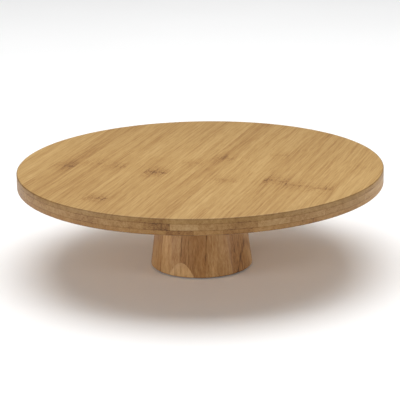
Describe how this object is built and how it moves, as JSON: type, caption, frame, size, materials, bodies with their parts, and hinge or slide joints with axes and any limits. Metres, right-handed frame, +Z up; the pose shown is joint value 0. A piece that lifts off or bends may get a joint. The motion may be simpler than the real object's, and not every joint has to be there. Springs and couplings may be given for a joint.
{
  "type": "turntable display stand",
  "caption": "Round laminated bamboo board that turns freely on a low conical foot, with a flat ball bearing between them.",
  "frame": {"origin": "on the floor under the axis of the foot, at the centre of the bottom of the bounding box", "axes": "+Z up along the turntable's axis; -Y faces the viewer of the picture; the board's strips run 71 degrees from +X towards +Y at rest"},
  "size_m": [0.3, 0.3, 0.085],
  "materials": {
    "bamboo_top": "satin oiled bamboo",
    "bamboo_core": "satin oiled bamboo",
    "bamboo_bottom": "satin oiled bamboo",
    "bamboo_foot": "satin oiled bamboo",
    "ring_aluminium": "turned, satin",
    "fastener_steel": "zinc plated",
    "ball_steel": "polished",
    "cage_nylon": "moulded nylon",
    "pad_silicone": "matte silicone"
  },
  "bodies": {
    "foot": {"foot_board_01": "bamboo_foot", "foot_board_02": "bamboo_foot", "foot_board_03": "bamboo_foot", "foot_board_04": "bamboo_foot", "foot_board_05": "bamboo_foot", "foot_board_06": "bamboo_foot", "foot_screws": "fastener_steel", "foot_washers": "fastener_steel", "foot_pads": "pad_silicone", "bearing_inner_ring_lower": "ring_aluminium", "bearing_inner_ring_upper": "ring_aluminium", "ring_rivets": "fastener_steel"},
    "turntable": {"top_strip_01": "bamboo_top", "top_strip_02": "bamboo_top", "top_strip_03": "bamboo_top", "top_strip_04": "bamboo_top", "top_strip_05": "bamboo_top", "top_strip_06": "bamboo_top", "top_strip_07": "bamboo_top", "top_strip_08": "bamboo_top", "top_strip_09": "bamboo_top", "top_strip_10": "bamboo_top", "top_strip_11": "bamboo_top", "top_strip_12": "bamboo_top", "top_strip_13": "bamboo_top", "top_strip_14": "bamboo_top", "top_strip_15": "bamboo_top", "top_strip_16": "bamboo_top", "core_strips": "bamboo_core", "bottom_strip_01": "bamboo_bottom", "bottom_strip_02": "bamboo_bottom", "bottom_strip_03": "bamboo_bottom", "bottom_strip_04": "bamboo_bottom", "bottom_strip_05": "bamboo_bottom", "bottom_strip_06": "bamboo_bottom", "bottom_strip_07": "bamboo_bottom", "bottom_strip_08": "bamboo_bottom", "bottom_strip_09": "bamboo_bottom", "bottom_strip_10": "bamboo_bottom", "bottom_strip_11": "bamboo_bottom", "bottom_strip_12": "bamboo_bottom", "bottom_strip_13": "bamboo_bottom", "bottom_strip_14": "bamboo_bottom", "bottom_strip_15": "bamboo_bottom", "bottom_strip_16": "bamboo_bottom", "bearing_outer_ring": "ring_aluminium", "board_screws": "fastener_steel"},
    "ball_train": {"bearing_balls": "ball_steel", "ball_cage": "cage_nylon"}
  },
  "joints": [
    {"name": "turntable_spin", "type": "hinge", "parent": "foot", "child": "turntable", "pos_m": [0, 0, 0.068], "axis": [0, 0, 1], "continuous": true},
    {"name": "ball_train_spin", "type": "hinge", "parent": "foot", "child": "ball_train", "pos_m": [0, 0, 0.068], "axis": [0, 0, 1], "continuous": true}
  ],
  "couplings": [
    {"joint": "ball_train_spin", "follows": "turntable_spin", "ratio": 0.53}
  ]
}
